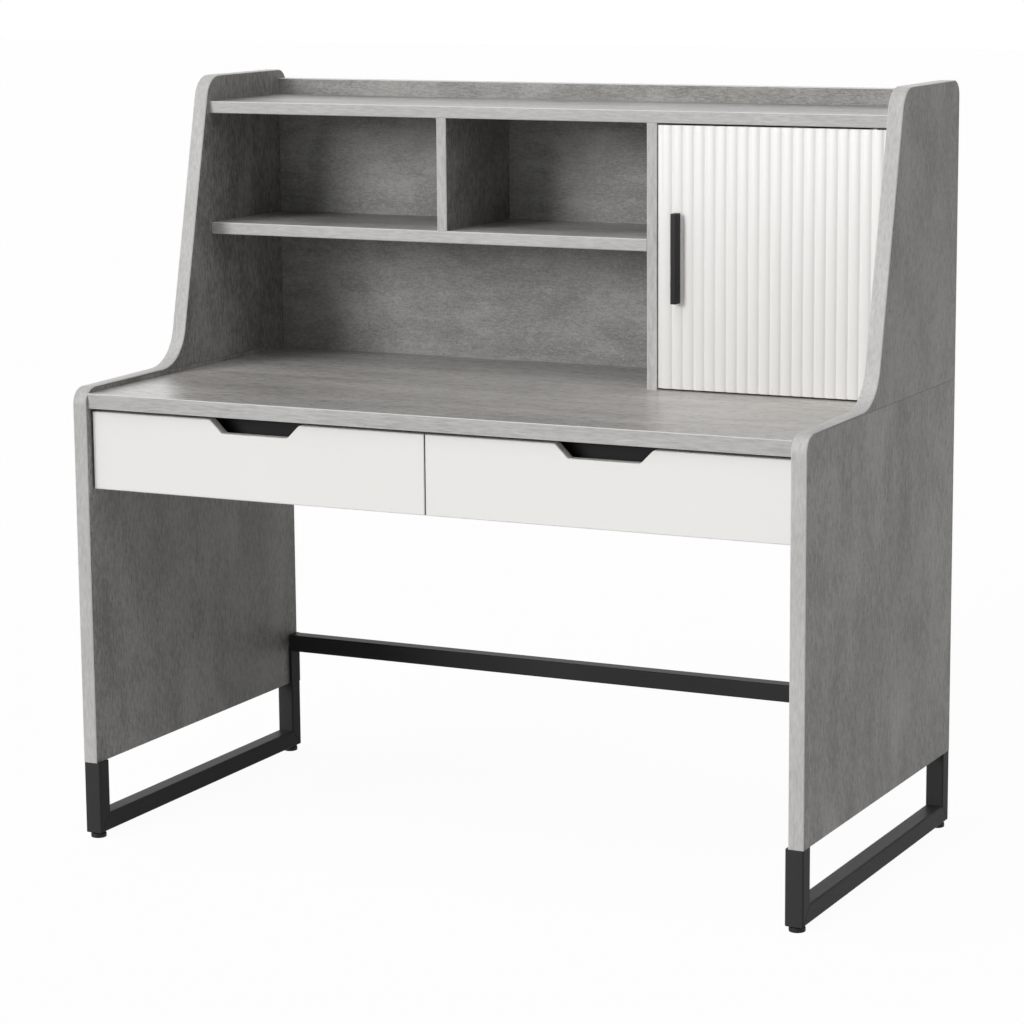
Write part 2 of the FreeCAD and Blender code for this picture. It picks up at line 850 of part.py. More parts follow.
def make_cams():
    """Cam locks let into the boards' hidden faces, and the bolts that they draw tight."""
    cams = []
    bolts = []
    for side_board, held_board, point, inward, into in cam_joints():
        axis = point + into * cam_bolt_depth
        middle = point + inward * cam_reach
        cavity_length = cam_reach + cam_bolt_head_radius
        cavity = peg(cam_bolt_bore_radius, axis, inward, cavity_length)
        across = inward.cross(into)
        slot = Part.makeBox(cam_slot_length, cam_slot_width, cam_slot_depth + overrun)
        slot.translate(V(-cam_slot_length / 2, -cam_slot_width / 2, -overrun))
        slot.Placement = FreeCAD.Placement(middle, FreeCAD.Rotation(across, inward, into, "ZXY")).multiply(
            slot.Placement
        )
        cams.append(peg(cam_radius, middle, into, cam_depth).cut(cavity).cut(slot))
        thread = peg(cam_bolt_thread_radius, axis, -inward, cam_bolt_thread_length)
        shank = peg(cam_bolt_radius, axis, inward, cam_reach)
        head = peg(cam_bolt_head_radius, axis + inward * cam_reach, -inward, cam_bolt_head_length)
        bolts.append(thread.fuse([shank, head]).removeSplitter())
        thread_room = peg(
            cam_bolt_thread_radius + thread_clearance,
            axis - inward * (cam_bolt_thread_length + dowel_end_room),
            inward,
            cam_bolt_thread_length + dowel_end_room + overrun,
        )
        pocket_depth = cam_depth + cam_clearance
        pocket = peg(cam_radius + cam_clearance, middle - into * overrun, into, pocket_depth + overrun)
        parts[side_board] = parts[side_board].cut(thread_room)
        parts[held_board] = parts[held_board].cut(pocket).cut(cavity)
    parts["cam_locks"] = Part.makeCompound(cams)
    parts["cam_bolts"] = Part.makeCompound(bolts)


def fluted_door():
    """The cabinet door: rounded flutes side by side across its front, with a plain margin at each end."""
    valley = shelf_front + flute_rise
    place = in_plan(door_bottom)
    edges = [Part.LineSegment(place(door_left, door_back), place(door_left, valley)).toShape()]
    last = door_left
    for i in range(flute_count):
        low = door_left + flute_margin + i * flute_pitch + flute_valley / 2
        high = low + flute_pitch - flute_valley
        edges.append(Part.LineSegment(place(last, valley), place(low, valley)).toShape())
        crest = place((low + high) / 2, shelf_front)
        edges.append(Part.Arc(place(low, valley), crest, place(high, valley)).toShape())
        last = high
    edges.append(Part.LineSegment(place(last, valley), place(door_right, valley)).toShape())
    edges.append(Part.LineSegment(place(door_right, valley), place(door_right, door_back)).toShape())
    edges.append(Part.LineSegment(place(door_right, door_back), place(door_left, door_back)).toShape())
    return Part.Face(Part.Wire(edges)).extrude(Z_AXIS * (door_top - door_bottom))


def pivot(seat, door_end, into_door):
    """A pivot pin with its collar, and its flanged bush, between a board's face and the door's end.

    Only the pin's length in the bush, and the bush's bore, are round, because they turn.
    """
    start = V(pivot_x, pivot_y, seat)
    door_start = V(pivot_x, pivot_y, door_end)
    gap = abs(door_end - seat)
    bush_body = peg(bush_radius, start, -into_door, bush_length)
    flange = peg(bush_flange_radius, start, into_door, bush_flange_thickness)
    bore_start = start - into_door * (bush_length + overrun)
    bore_length = bush_length + bush_flange_thickness + 2 * overrun
    bore = rod(pivot_radius + pivot_running_clearance, bore_start, into_door, bore_length)
    bush = bush_body.fuse(flange).removeSplitter().cut(bore)
    running = rod(pivot_radius, door_start, -into_door, gap + pivot_length_in_bush)
    shank = peg(pivot_radius, door_start, into_door, pivot_depth)
    collar_length = gap - bush_flange_thickness - pivot_thrust_clearance
    collar = peg(pivot_collar_radius, door_start, -into_door, collar_length)
    pin = running.fuse([shank, collar]).removeSplitter()
    bush_room = peg(
        bush_radius + thread_clearance,
        start + into_door * overrun,
        -into_door,
        bush_length + overrun,
    )
    pin_room = peg(
        pivot_radius + thread_clearance,
        door_start - into_door * overrun,
        into_door,
        pivot_depth + overrun + dowel_end_room,
    )
    return pin, bush, bush_room, pin_room


def make_door():
    door = fluted_door()
    pins = []
    bushes = []
    for board, seat, door_end, into_door in (
        ("desktop", desktop_height, door_bottom, Z_AXIS),
        ("top_shelf", top_shelf_bottom, door_top, -Z_AXIS),
    ):
        pin, bush, bush_room, pin_room = pivot(seat, door_end, into_door)
        pins.append(pin)
        bushes.append(bush)
        parts[board] = parts[board].cut(bush_room)
        door = door.cut(pin_room)
    parts["door_pivot_pins"] = Part.makeCompound(pins)
    parts["door_pivot_bushes"] = Part.makeCompound(bushes)

    handle_x = door_left + flute_margin + (handle_flute - 1 / 2) * flute_pitch
    handle_front = shelf_front - handle_projection
    bar = block(
        (handle_x - handle_width / 2, handle_x + handle_width / 2),
        (handle_front, shelf_front + flute_rise),
        (door_middle_height - handle_length / 2, door_middle_height + handle_length / 2),
    )
    bar = rounded(bar, front_edges(handle_front), handle_edge_radius).cut(door)
    screws = []
    for end in (-1, 1):
        seat = V(handle_x, door_back, door_middle_height + end * handle_screw_spacing / 2)
        length = door_thickness + handle_screw_grip
        screw = pan_head_screw(
            seat,
            -Y_AXIS,
            handle_screw_radius,
            length,
            handle_screw_head_radius,
            handle_screw_head_height,
        )
        screws.append(screw)
        room = peg(
            handle_screw_radius + screw_clearance,
            seat + Y_AXIS * overrun,
            -Y_AXIS,
            length + overrun + dowel_end_room,
        )
        door = door.cut(room)
        bar = bar.cut(room)
    parts["door_handle"] = bar
    parts["handle_screws"] = Part.makeCompound(screws)
    parts["fluted_door"] = door


def make_catch():
    """A magnet in a moulded case on the tall divider, and the steel strike that it holds on the door."""
    strike_low = door_left + strike_edge_inset
    strike_back = door_back + strike_thickness
    parts["catch_strike"] = block(
        (strike_low, strike_low + strike_width),
        (door_back, strike_back),
        (door_middle_height - strike_length / 2, door_middle_height + strike_length / 2),
    )
    case_front = strike_back + catch_gap
    case = block(
        (cabinet_left, cabinet_left + catch_width),
        (case_front, case_front + catch_depth),
        (door_middle_height - catch_length / 2, door_middle_height + catch_length / 2),
    )
    parts["magnetic_catch"] = rounded(
        case,
        lambda box: box.XMin > cabinet_left + tolerance and box.YMin > case_front + tolerance,
        catch_edge_radius,
    )


make_sides()
make_desktop()
make_hutch_boards()
make_leg_frames()
make_plate_pins()
make_post_studs()
make_feet()
for side, towards in (("left", -1), ("right", 1)):
    make_drawer(side, towards)
make_door()
make_catch()
make_dowels()
make_cams()

os.makedirs("parts", exist_ok=True)
for name, shape in parts.items():
    shape.exportStep(f"parts/{name}.step")
    print(name, len(shape.Solids), "solids", shape.isValid(), round(shape.Volume))
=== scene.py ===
import json
import math

import bmesh
import bpy
from mathutils import Matrix, Quaternion, Vector


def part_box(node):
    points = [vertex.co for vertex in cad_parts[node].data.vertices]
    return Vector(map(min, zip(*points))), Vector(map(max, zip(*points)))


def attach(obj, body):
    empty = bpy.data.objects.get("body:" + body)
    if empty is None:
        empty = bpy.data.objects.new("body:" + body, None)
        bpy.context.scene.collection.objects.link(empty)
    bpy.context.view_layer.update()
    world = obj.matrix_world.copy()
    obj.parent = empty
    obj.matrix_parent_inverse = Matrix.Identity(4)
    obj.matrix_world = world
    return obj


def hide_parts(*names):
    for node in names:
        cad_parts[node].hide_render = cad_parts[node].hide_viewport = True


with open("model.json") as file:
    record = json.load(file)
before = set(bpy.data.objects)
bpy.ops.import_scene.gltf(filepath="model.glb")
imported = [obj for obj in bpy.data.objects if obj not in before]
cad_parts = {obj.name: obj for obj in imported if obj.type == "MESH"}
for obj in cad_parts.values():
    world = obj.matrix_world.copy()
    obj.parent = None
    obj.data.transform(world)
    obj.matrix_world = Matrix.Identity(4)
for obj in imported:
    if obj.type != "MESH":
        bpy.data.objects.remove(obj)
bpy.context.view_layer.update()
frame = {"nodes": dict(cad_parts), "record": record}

nodes = frame["nodes"]
scene = bpy.context.scene

# Camera, fitted to the edges of the photograph
camera_place = Vector((2.3765, -4.8263, 1.5182))
camera_azimuth = math.radians(26.287)
camera_pitch = math.radians(10.264)
camera_roll = math.radians(-0.454)
camera_lens = 116.67
camera_sensor = 36.0

# Studio light: a low key from the front left, a top light, weak fills from the front, the right and
# behind, and dim light all round
soft_lights = (
    # name, degrees to the right of the front, degrees up, level, degrees across
    ("low_key", -28.0, 15.0, 0.48, 24.0),
    ("front_fill", -2.0, 10.0, 0.035, 20.0),
    ("top_light", -25.0, 66.0, 0.42, 55.0),
    ("side_fill", 80.0, 20.0, 0.08, 30.0),
    ("back_fill", 200.0, 15.0, 0.16, 60.0),
)
room_level = 0.115
white = "#ffffff"
floor_size = 60.0
floor_paint = "#c6c6c5"
floor_white_level = 1.04
floor_shadow_share = 0.08

# Cabinet door, in millimetres
flute_count = 20
flute_margin = 6.0
flute_rise = 2.2
flute_peak = 5.5
flute_crest_round = 8.0
flute_crest_fullness = 0.36
flute_crest_segments = 8
flute_valley_round = 0.4
flute_valley_segments = 2
door_edge_round = 0.8
door_edge_segments = 2

# Bar handle, in millimetres
handle_front_round = 2.2
handle_front_segments = 5
handle_end_round = 1.2
handle_end_segments = 3
handle_sink = 2.0

# Levelling feet, in millimetres
feet = ("front_left_foot", "front_right_foot", "rear_left_foot", "rear_right_foot")
foot_sides = 48
pad_outline = (
    # in from the pad's rim, up from the floor
    (1.5, 0.0), (0.45, 0.45), (0.0, 1.5), (0.0, 6.2), (0.5, 7.4), (1.6, 8.0), (4.5, 8.4),
)
pad_top = 9.8
pad_neck_width = 2.2
stud_radius = 3.6
thread_depth = 0.5
thread_pitch = 1.5

# Thin front ends of the hutch sides' feet, and the seam under them, in millimetres
toe_height = 3.0
toe_arris = 1.2
toe_tip_share = 0.1
toe_tip_from_front = 27.0
seam_depth = 1.3

# Laminate: the sizes of its patterns in millimetres
cloud_size = 120.0
patch_size = 30.0
hairline_size = 2.0
grit_size = 3.0
fleck_size = 5.0
grain_depth = 0.12

# Laminate: the shares of its patterns, the values between which they fade in, and its other colours
cloud_reach_share = 1 / 3
hairline_reach_share = 1.25
cloud_share = 0.22
print_spread = 0.08
fleck_share = 0.40
pale_fleck_range = (0.58, 0.72)
dark_pit_range = (0.36, 0.27)
band_range = (0.97, 0.90)
arris_highlight_range = (0.30, 0.60)
band_patch_share = 0.40
band_spread = 0.18
sheen_range = (0.3, 0.7)
sheen_spread = 1.26
grain_strength = 0.4
hairline_relief = 0.7
fleck_pale = "#c3c1be"
pit_dark = "#646361"
band_dark = "#adacaa"
band_light = "#cfcecc"
# Painted highlight along the boards' arrises
arris_highlight_pale = "#d8d7d5"
# Painted shade in the joint where the hutch sides stand on the lower sides
joint_shade_dark = "#9a9896"

# Other finishes: the sizes of their patterns in millimetres, and how far these are drawn out
lacquer_cloud_size = 220.0
lacquer_peel_size = 3.5
lacquer_peel_depth = 0.05
powder_cloud_size = 90.0
powder_grain_size = 1.6
powder_grain_depth = 0.1
foil_thread_size = 1.8
foil_thread_reach = 14.0
foil_thread_depth = 0.08
zinc_cloud_size = 14.0
zinc_line_size = 0.9
zinc_line_reach = 30.0
zinc_line_depth = 0.04
plastic_grain_size = 0.8
plastic_grain_depth = 0.05
beech_fleck_size = 1.2
beech_fleck_reach = 5.0
lacquer_white = "#f2f1ee"
# Painted shade: grey for the drawer fronts' ends, so that the gaps beside them read dark
front_end_shade = "#6f6f6d"

# Shaping: how near two places count as one, in millimetres, a bevel's round profile, and the angles from
# which edges stay sharp in shading and are eased
near = 0.05
full_round = 0.5
smooth_angle = math.radians(32)
ease_angle = math.radians(60)


def mm(length):
    """Millimetres as metres."""
    return length / 1000


def linear(code):
    """An sRGB hex colour as linear RGBA."""
    channels = [int(code[i:i + 2], 16) / 255 for i in (1, 3, 5)]
    return [c / 12.92 if c <= 0.04045 else ((c + 0.055) / 1.055) ** 2.4 for c in channels] + [1.0]


def add(tree, kind, links=None, **settings):
    """Adds a node with its settings, and each input set to a value or joined to another node's output."""
    node = tree.nodes.new(kind)
    for key, value in settings.items():
        setattr(node, key, value)
    for key, value in (links or {}).items():
        if isinstance(value, bpy.types.NodeSocket):
            tree.links.new(value, node.inputs[key])
        else:
            node.inputs[key].default_value = value
    return node


def new_finish(name, surface, **look):
    """A material of this name, with one of the surfaces below."""
    material = bpy.data.materials.new(name)
    material.use_nodes = True
    tree = material.node_tree
    tree.nodes.clear()
    add(tree, "ShaderNodeOutputMaterial", {"Surface": surface(tree, **look)})
    return material


def fineness(size):
    """The noise scale whose features are this many millimetres across."""
    return 1000 / size


def drawn_out(grain, ratio):
    """A mapping scale that draws a pattern out along the grain."""
    return [1 / ratio if axis == grain else 1.0 for axis in "XYZ"]


def cement_laminate(tree, grain, face, shift, reach, coarse, patchy, brushed, dark, light, rough, shine,
                    seam=None):
    """Melamine-faced chipboard, printed with a cement pattern and pressed with a fine brushed grain.

    It gives the eye fine hairlines and specks on soft clouds of grey, a few pale flecks and dark pits, and
    a satin sheen that follows the brushing. The plastic edge band is paler than the faces, and its arris
    is painted palest, as a painted highlight along the edge. The hairlines are drawn 2 mm wide or more,
    coarser than the press leaves them, so that they show. Behind and above the seam's y and z, where
    another board stands on this one, the arris lies in the joint and is painted darker, as painted shade
    in the joint.
    """
    place = add(tree, "ShaderNodeTexCoord")
    flat, long, hair = [
        add(tree, "ShaderNodeMapping", {
            "Vector": place.outputs["Object"], "Location": shift, "Scale": drawn_out(grain, ratio),
        }).outputs[0]
        for ratio in (cloud_reach_share * reach, reach, hairline_reach_share * reach)
    ]
    clouds = add(tree, "ShaderNodeTexNoise", {
        "Vector": flat, "Scale": fineness(cloud_size),
        "Detail": 4.0, "Roughness": 0.55, "Distortion": 0.5,
    }).outputs[0]
    patches = add(tree, "ShaderNodeTexNoise", {
        "Vector": long, "Scale": fineness(patch_size * coarse),
        "Detail": 4.0, "Roughness": 0.6, "Distortion": 0.3,
    }).outputs[0]
    hairlines = add(tree, "ShaderNodeTexNoise", {
        "Vector": hair, "Scale": fineness(hairline_size * coarse), "Detail": 2.0, "Roughness": 0.6,
    }).outputs[0]
    grit = add(tree, "ShaderNodeTexNoise", {
        "Vector": flat, "Scale": fineness(grit_size * coarse),
        "Detail": 3.0, "Roughness": 0.7, "Distortion": 1.0,
    }).outputs[0]
    flecks = add(tree, "ShaderNodeTexNoise", {
        "Vector": flat, "Scale": fineness(fleck_size * coarse),
        "Detail": 2.0, "Roughness": 0.6, "Distortion": 2.5,
    }).outputs[0]

    # The print on the faces
    tone = 0.0
    gritty = 1 - cloud_share - patchy - brushed
    for layer, share in ((clouds, cloud_share), (patches, patchy), (hairlines, brushed), (grit, gritty)):
        tone = add(tree, "ShaderNodeMath", {
            0: layer, 1: share, 2: tone,
        }, operation="MULTIPLY_ADD").outputs[0]
    tone = add(tree, "ShaderNodeMapRange", {
        "Value": tone, "From Min": 0.5 - print_spread, "From Max": 0.5 + print_spread,
    }).outputs[0]
    printed = add(tree, "ShaderNodeMix", {
        0: tone, 6: linear(dark), 7: linear(light),
    }, data_type="RGBA").outputs[2]
    for (start, end), paint in ((pale_fleck_range, fleck_pale), (dark_pit_range, pit_dark)):
        spots = add(tree, "ShaderNodeMapRange", {
            "Value": flecks, "From Min": start, "From Max": end, "To Min": 0.0, "To Max": fleck_share,
        }, interpolation_type="SMOOTHSTEP").outputs[0]
        printed = add(tree, "ShaderNodeMix", {
            0: spots, 6: printed, 7: linear(paint),
        }, data_type="RGBA").outputs[2]

    # The band on the edges, told from the faces by the way that they point
    facing = add(tree, "ShaderNodeSeparateXYZ", {0: place.outputs["Normal"]}).outputs["XYZ".index(face)]
    facing = add(tree, "ShaderNodeMath", {0: facing}, operation="ABSOLUTE").outputs[0]
    on_edge = add(tree, "ShaderNodeMapRange", {
        "Value": facing, "From Min": band_range[0], "From Max": band_range[1],
    }).outputs[0]
    # Painted highlight: the arris, between face and edge, is painted palest
    arris_highlight_mask = add(tree, "ShaderNodeMapRange", {
        "Value": facing, "From Min": arris_highlight_range[0], "From Max": arris_highlight_range[1],
    }).outputs[0]
    band_tone = 0.0
    for layer, share in ((patches, band_patch_share), (hairlines, 1 - band_patch_share)):
        band_tone = add(tree, "ShaderNodeMath", {
            0: layer, 1: share, 2: band_tone,
        }, operation="MULTIPLY_ADD").outputs[0]
    band_tone = add(tree, "ShaderNodeMapRange", {
        "Value": band_tone, "From Min": 0.5 - band_spread, "From Max": 0.5 + band_spread,
    }).outputs[0]
    band = add(tree, "ShaderNodeMix", {
        0: band_tone, 6: linear(band_dark), 7: linear(band_light),
    }, data_type="RGBA").outputs[2]
    band = add(tree, "ShaderNodeMix", {
        0: arris_highlight_mask, 6: band, 7: linear(arris_highlight_pale),
    }, data_type="RGBA").outputs[2]
    colour = add(tree, "ShaderNodeMix", {0: on_edge, 6: printed, 7: band}, data_type="RGBA").outputs[2]

    # Painted shade: behind and above the seam the board's top and arris are painted darker, so that the
    # joint reads as a shadowed line
    if seam:
        seam_y, seam_z = seam
        spot = add(tree, "ShaderNodeSeparateXYZ", {0: place.outputs["Object"]}).outputs
        behind = add(tree, "ShaderNodeMath", {
            0: spot["Y"], 1: seam_y,
        }, operation="GREATER_THAN").outputs[0]
        above = add(tree, "ShaderNodeMath", {
            0: spot["Z"], 1: seam_z,
        }, operation="GREATER_THAN").outputs[0]
        joint_shade_mask = add(tree, "ShaderNodeMath", {0: behind, 1: above}, operation="MULTIPLY").outputs[0]
        colour = add(tree, "ShaderNodeMix", {
            0: joint_shade_mask, 6: colour, 7: linear(joint_shade_dark),
        }, data_type="RGBA").outputs[2]

    # A glossier sheet has an evener sheen and a shallower grain
    sheen = add(tree, "ShaderNodeMapRange", {
        "Value": hairlines, "From Min": sheen_range[0], "From Max": sheen_range[1],
        "To Min": rough, "To Max": sheen_spread * rough,
    }).outputs[0]
    relief = add(tree, "ShaderNodeMath", {
        0: hairlines, 1: hairline_relief, 2: grit,
    }, operation="MULTIPLY_ADD").outputs[0]
    bump = add(tree, "ShaderNodeBump", {
        "Height": relief, "Strength": grain_strength * rough, "Distance": mm(grain_depth),
    }).outputs[0]
    return add(tree, "ShaderNodeBsdfPrincipled", {
        "Base Color": colour, "Roughness": sheen, "Normal": bump, "Specular IOR Level": shine,
    }).outputs[0]


def satin_lacquer(tree, ends):
    """Fibreboard with a sprayed satin lacquer, and its left and right ends in a colour of their own.

    It gives the eye a clean warm white, a soft sheen and the faint orange peel of sprayed paint, drawn
    coarser than it is, at 3.5 mm, so that it shows. On the drawer fronts the ends are painted grey,
    as painted shade that keeps the gaps beside them dark.
    """
    place = add(tree, "ShaderNodeTexCoord").outputs
    clouds = add(tree, "ShaderNodeTexNoise", {
        "Vector": place["Object"], "Scale": fineness(lacquer_cloud_size), "Detail": 2.0,
    }).outputs[0]
    peel = add(tree, "ShaderNodeTexNoise", {
        "Vector": place["Object"], "Scale": fineness(lacquer_peel_size), "Detail": 2.0,
    }).outputs[0]
    colour = add(tree, "ShaderNodeMix", {
        0: clouds, 6: linear(lacquer_white), 7: linear("#f7f6f4"),
    }, data_type="RGBA").outputs[2]
    # Painted shade: faces pointing left or right take the end colour, which is grey on the drawer fronts
    sideways = add(tree, "ShaderNodeSeparateXYZ", {0: place["Normal"]}).outputs["X"]
    sideways = add(tree, "ShaderNodeMath", {0: sideways}, operation="ABSOLUTE").outputs[0]
    end_shade_mask = add(tree, "ShaderNodeMath", {0: sideways, 1: 0.95}, operation="GREATER_THAN").outputs[0]
    colour = add(tree, "ShaderNodeMix", {
        0: end_shade_mask, 6: colour, 7: linear(ends),
    }, data_type="RGBA").outputs[2]
    sheen = add(tree, "ShaderNodeMapRange", {"Value": peel, "To Min": 0.36, "To Max": 0.44}).outputs[0]
    bump = add(tree, "ShaderNodeBump", {
        "Height": peel, "Strength": 0.25, "Distance": mm(lacquer_peel_depth),
    }).outputs[0]
    return add(tree, "ShaderNodeBsdfPrincipled", {
        "Base Color": colour, "Roughness": sheen, "Normal": bump, "IOR": 1.5,
    }).outputs[0]


def powder_coat(tree):
    """Steel with a fine black powder coat.

    It gives the eye a soft charcoal black with a fine grained sheen. The grain is under half a millimetre,
    and is drawn at 1.6 mm so that it shows.
    """
    place = add(tree, "ShaderNodeTexCoord").outputs["Object"]
    grain = add(tree, "ShaderNodeTexNoise", {
        "Vector": place, "Scale": fineness(powder_grain_size), "Detail": 3.0,
    }).outputs[0]
    clouds = add(tree, "ShaderNodeTexNoise", {
        "Vector": place, "Scale": fineness(powder_cloud_size), "Detail": 2.0,
    }).outputs[0]
    tone = 0.0
    for layer, share in ((grain, 0.4), (clouds, 0.6)):
        tone = add(tree, "ShaderNodeMath", {
            0: layer, 1: share, 2: tone,
        }, operation="MULTIPLY_ADD").outputs[0]
    colour = add(tree, "ShaderNodeMix", {
        0: tone, 6: linear("#353536"), 7: linear("#434344"),
    }, data_type="RGBA").outputs[2]
    sheen = add(tree, "ShaderNodeMapRange", {"Value": grain, "To Min": 0.40, "To Max": 0.50}).outputs[0]
    bump = add(tree, "ShaderNodeBump", {
        "Height": grain, "Strength": 0.15, "Distance": mm(powder_grain_depth),
    }).outputs[0]
    return add(tree, "ShaderNodeBsdfPrincipled", {
        "Base Color": colour, "Roughness": sheen, "Normal": bump, "Specular IOR Level": 0.04,
    }).outputs[0]


def charcoal_foil(tree):
    """Drawer board wrapped in a charcoal foil.

    It gives the eye a dark matt grey with a faint linen grain, lengthwise, its threads drawn at 1.8 mm.
    """
    place = add(tree, "ShaderNodeTexCoord").outputs["Object"]
    lengthwise = add(tree, "ShaderNodeMapping", {
        "Vector": place, "Scale": drawn_out("Y", foil_thread_reach),
    }).outputs[0]
    threads = add(tree, "ShaderNodeTexNoise", {
        "Vector": lengthwise, "Scale": fineness(foil_thread_size), "Detail": 3.0,
    }).outputs[0]
    colour = add(tree, "ShaderNodeMix", {
        0: threads, 6: linear("#2a2a2b"), 7: linear("#3a3a3b"),
    }, data_type="RGBA").outputs[2]
    sheen = add(tree, "ShaderNodeMapRange", {"Value": threads, "To Min": 0.50, "To Max": 0.64}).outputs[0]
    bump = add(tree, "ShaderNodeBump", {
        "Height": threads, "Strength": 0.3, "Distance": mm(foil_thread_depth),
    }).outputs[0]
    return add(tree, "ShaderNodeBsdfPrincipled", {
        "Base Color": colour, "Roughness": sheen, "Normal": bump, "Specular IOR Level": 0.35,
    }).outputs[0]


def zinc_plate(tree):
    """Steel with bright zinc plate, rolled and bent.

    It gives the eye a cool grey metal with fine rolling lines and faint cloudy patches.
    """
    place = add(tree, "ShaderNodeTexCoord").outputs["Object"]
    rolled = add(tree, "ShaderNodeMapping", {
        "Vector": place, "Scale": drawn_out("Y", zinc_line_reach),
    }).outputs[0]
    lines = add(tree, "ShaderNodeTexNoise", {
        "Vector": rolled, "Scale": fineness(zinc_line_size), "Detail": 2.0,
    }).outputs[0]
    clouds = add(tree, "ShaderNodeTexNoise", {
        "Vector": place, "Scale": fineness(zinc_cloud_size), "Detail": 3.0,
    }).outputs[0]
    colour = add(tree, "ShaderNodeMix", {
        0: clouds, 6: linear("#b4b7ba"), 7: linear("#cdd0d2"),
    }, data_type="RGBA").outputs[2]
    sheen = add(tree, "ShaderNodeMapRange", {"Value": lines, "To Min": 0.24, "To Max": 0.42}).outputs[0]
    bump = add(tree, "ShaderNodeBump", {
        "Height": lines, "Strength": 0.2, "Distance": mm(zinc_line_depth),
    }).outputs[0]
    return add(tree, "ShaderNodeBsdfPrincipled", {
        "Base Color": colour, "Metallic": 1.0, "Roughness": sheen, "Normal": bump,
    }).outputs[0]


def moulded_plastic(tree):
    """Black polyamide, moulded in a spark-eroded tool.

    It gives the eye a matt black with the tool's fine grain, drawn at 0.8 mm.
    """
    place = add(tree, "ShaderNodeTexCoord").outputs["Object"]
    grain = add(tree, "ShaderNodeTexNoise", {
        "Vector": place, "Scale": fineness(plastic_grain_size), "Detail": 2.0,
    }).outputs[0]
    colour = add(tree, "ShaderNodeMix", {
        0: grain, 6: linear("#121212"), 7: linear("#1e1e1f"),
    }, data_type="RGBA").outputs[2]
    sheen = add(tree, "ShaderNodeMapRange", {"Value": grain, "To Min": 0.48, "To Max": 0.62}).outputs[0]
    bump = add(tree, "ShaderNodeBump", {
        "Height": grain, "Strength": 0.3, "Distance": mm(plastic_grain_depth),
    }).outputs[0]
    return add(tree, "ShaderNodeBsdfPrincipled", {
        "Base Color": colour, "Roughness": sheen, "Normal": bump, "Specular IOR Level": 0.25,
    }).outputs[0]


def bare_beech(tree):
    """Turned beech, left bare.

    It gives the eye a pale pinkish brown with short dark flecks along the grain.
    """
    place = add(tree, "ShaderNodeTexCoord").outputs["Object"]
    lengthwise = add(tree, "ShaderNodeMapping", {
        "Vector": place, "Scale": drawn_out("X", beech_fleck_reach),
    }).outputs[0]
    flecks = add(tree, "ShaderNodeTexNoise", {
        "Vector": lengthwise, "Scale": fineness(beech_fleck_size), "Detail": 2.0,
    }).outputs[0]
    colour = add(tree, "ShaderNodeMix", {
        0: flecks, 6: linear("#b98a5f"), 7: linear("#d9b48a"),
    }, data_type="RGBA").outputs[2]
    sheen = add(tree, "ShaderNodeMapRange", {"Value": flecks, "To Min": 0.60, "To Max": 0.75}).outputs[0]
    return add(tree, "ShaderNodeBsdfPrincipled", {"Base Color": colour, "Roughness": sheen}).outputs[0]


def seen_directly(tree):
    """1 for what the camera sees, straight or in gloss or glass, and 0 for what only lights the object."""
    rays = add(tree, "ShaderNodeLightPath").outputs
    seen = rays["Is Camera Ray"]
    for kind in ("Is Glossy Ray", "Is Transmission Ray"):
        seen = add(tree, "ShaderNodeMath", {0: seen, 1: rays[kind]}, operation="MAXIMUM").outputs[0]
    return seen


def pale_floor(tree):
    """A painted floor that the camera sees as white, with the object's soft shadow on it."""
    share = add(tree, "ShaderNodeMath", {
        0: seen_directly(tree), 1: 1 - floor_shadow_share,
    }, operation="MULTIPLY").outputs[0]
    painted = add(tree, "ShaderNodeBsdfDiffuse", {"Color": linear(floor_paint)}).outputs[0]
    lit = add(tree, "ShaderNodeEmission", {
        "Color": linear(white), "Strength": floor_white_level,
    }).outputs[0]
    return add(tree, "ShaderNodeMixShader", {0: share, 1: painted, 2: lit}).outputs[0]


# Finishes by the record's slots
finishes = {
    "white_lacquer": new_finish("satin_white_lacquer", satin_lacquer, ends=lacquer_white),
    "charcoal_board": new_finish("charcoal_drawer_foil", charcoal_foil),
    "black_powder_coat": new_finish("fine_black_powder_coat", powder_coat),
    "zinc_steel": new_finish("bright_zinc_plate", zinc_plate),
    "black_plastic": new_finish("moulded_black_polyamide", moulded_plastic),
    "beech": new_finish("bare_beech", bare_beech),
}

# Laminates of the boards: the directions of the grain and of the broad faces, how far the pattern is drawn
# out along the grain, how coarse it is, how much of it is patches and how much is brushing, how rough and
# how strong its sheen is, the sheet's place in the pattern, and the dark and light of the print. The
# dividers' copy is painted darker, as painted shade, and the middle shelf's copy is painted lighter, as
# painted light
upright = dict(
    grain="Z", face="X", reach=3.8, coarse=1.8, patchy=0.18, brushed=0.38, rough=0.46, shine=0.40,
)
level = dict(
    grain="X", face="Z", reach=6.0, coarse=1.6, patchy=0.21, brushed=0.30, rough=0.38, shine=0.40,
)
rear = dict(
    grain="X", face="Y", reach=3.3, coarse=1.0, patchy=0.21, brushed=0.24, rough=0.46, shine=0.40,
)
worktop = dict(level, reach=8.5, coarse=1.2, patchy=0.25, rough=0.26, shine=0.20)
rail = dict(rear, reach=4.0, brushed=0.30)
toe_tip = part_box("right_lower_side")[0].y + mm(toe_tip_from_front)
side_seam = (toe_tip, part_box("right_hutch_side")[0].z - mm(seam_depth))
